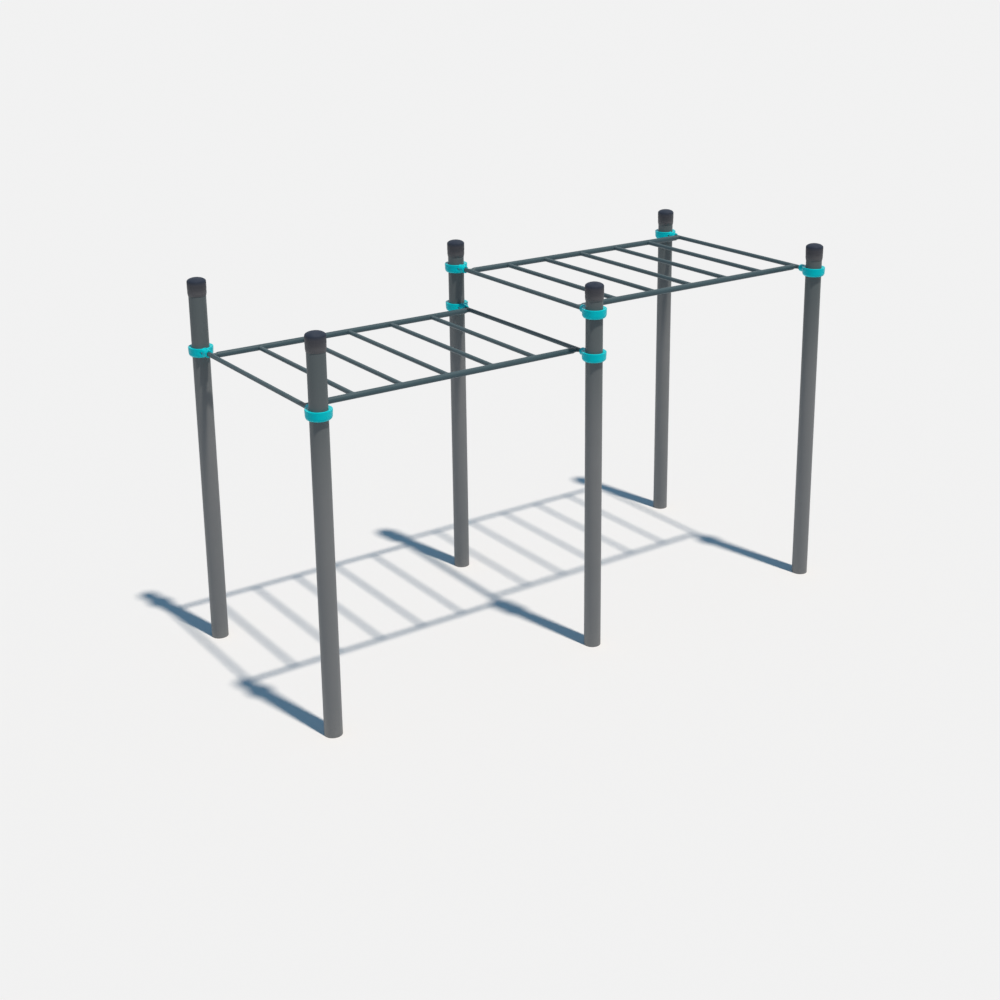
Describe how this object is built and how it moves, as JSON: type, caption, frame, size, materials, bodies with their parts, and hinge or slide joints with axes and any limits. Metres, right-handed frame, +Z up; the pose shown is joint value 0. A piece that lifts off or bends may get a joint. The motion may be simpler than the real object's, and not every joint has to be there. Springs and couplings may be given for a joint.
{
  "type": "outdoor workout station",
  "caption": "Outdoor workout station: a low and a high horizontal ladder in line, held by cast ring clamps between two rows of capped round posts.",
  "frame": {"origin": "on the ground, in the middle of the posts", "axes": "+X along the ladders from the low one to the high one, +Y to the back row of posts, +Z up"},
  "size_m": [4.164, 1.807, 2.553],
  "materials": {
    "post_paint": "dark grey powder coat, satin",
    "bar_paint": "dark blue-grey powder coat, satin",
    "clamp_paint": "turquoise powder coat on a casting, satin",
    "cap_plastic": "moulded dark grey plastic, matt",
    "bolt_zinc": "zinc plated"
  },
  "bodies": {
    "root": {"post_low_front": "post_paint", "cap_low_front": "cap_plastic", "post_low_back": "post_paint", "cap_low_back": "cap_plastic", "post_middle_front": "post_paint", "cap_middle_front": "cap_plastic", "post_middle_back": "post_paint", "cap_middle_back": "cap_plastic", "post_high_front": "post_paint", "cap_high_front": "cap_plastic", "post_high_back": "post_paint", "cap_high_back": "cap_plastic", "clamp_low_start_front": "clamp_paint", "bolt_low_start_front": "bolt_zinc", "clamp_low_start_back": "clamp_paint", "bolt_low_start_back": "bolt_zinc", "clamp_low_finish_front": "clamp_paint", "bolt_low_finish_front": "bolt_zinc", "clamp_low_finish_back": "clamp_paint", "bolt_low_finish_back": "bolt_zinc", "rail_low_front": "bar_paint", "rail_low_back": "bar_paint", "end_bar_low_start": "bar_paint", "end_bar_low_finish": "bar_paint", "rung_low_1": "bar_paint", "rung_low_2": "bar_paint", "rung_low_3": "bar_paint", "rung_low_4": "bar_paint", "rung_low_5": "bar_paint", "clamp_high_start_front": "clamp_paint", "bolt_high_start_front": "bolt_zinc", "clamp_high_start_back": "clamp_paint", "bolt_high_start_back": "bolt_zinc", "clamp_high_finish_front": "clamp_paint", "bolt_high_finish_front": "bolt_zinc", "clamp_high_finish_back": "clamp_paint", "bolt_high_finish_back": "bolt_zinc", "rail_high_front": "bar_paint", "rail_high_back": "bar_paint", "end_bar_high_start": "bar_paint", "end_bar_high_finish": "bar_paint", "rung_high_1": "bar_paint", "rung_high_2": "bar_paint", "rung_high_3": "bar_paint", "rung_high_4": "bar_paint", "rung_high_5": "bar_paint"}
  },
  "joints": []
}
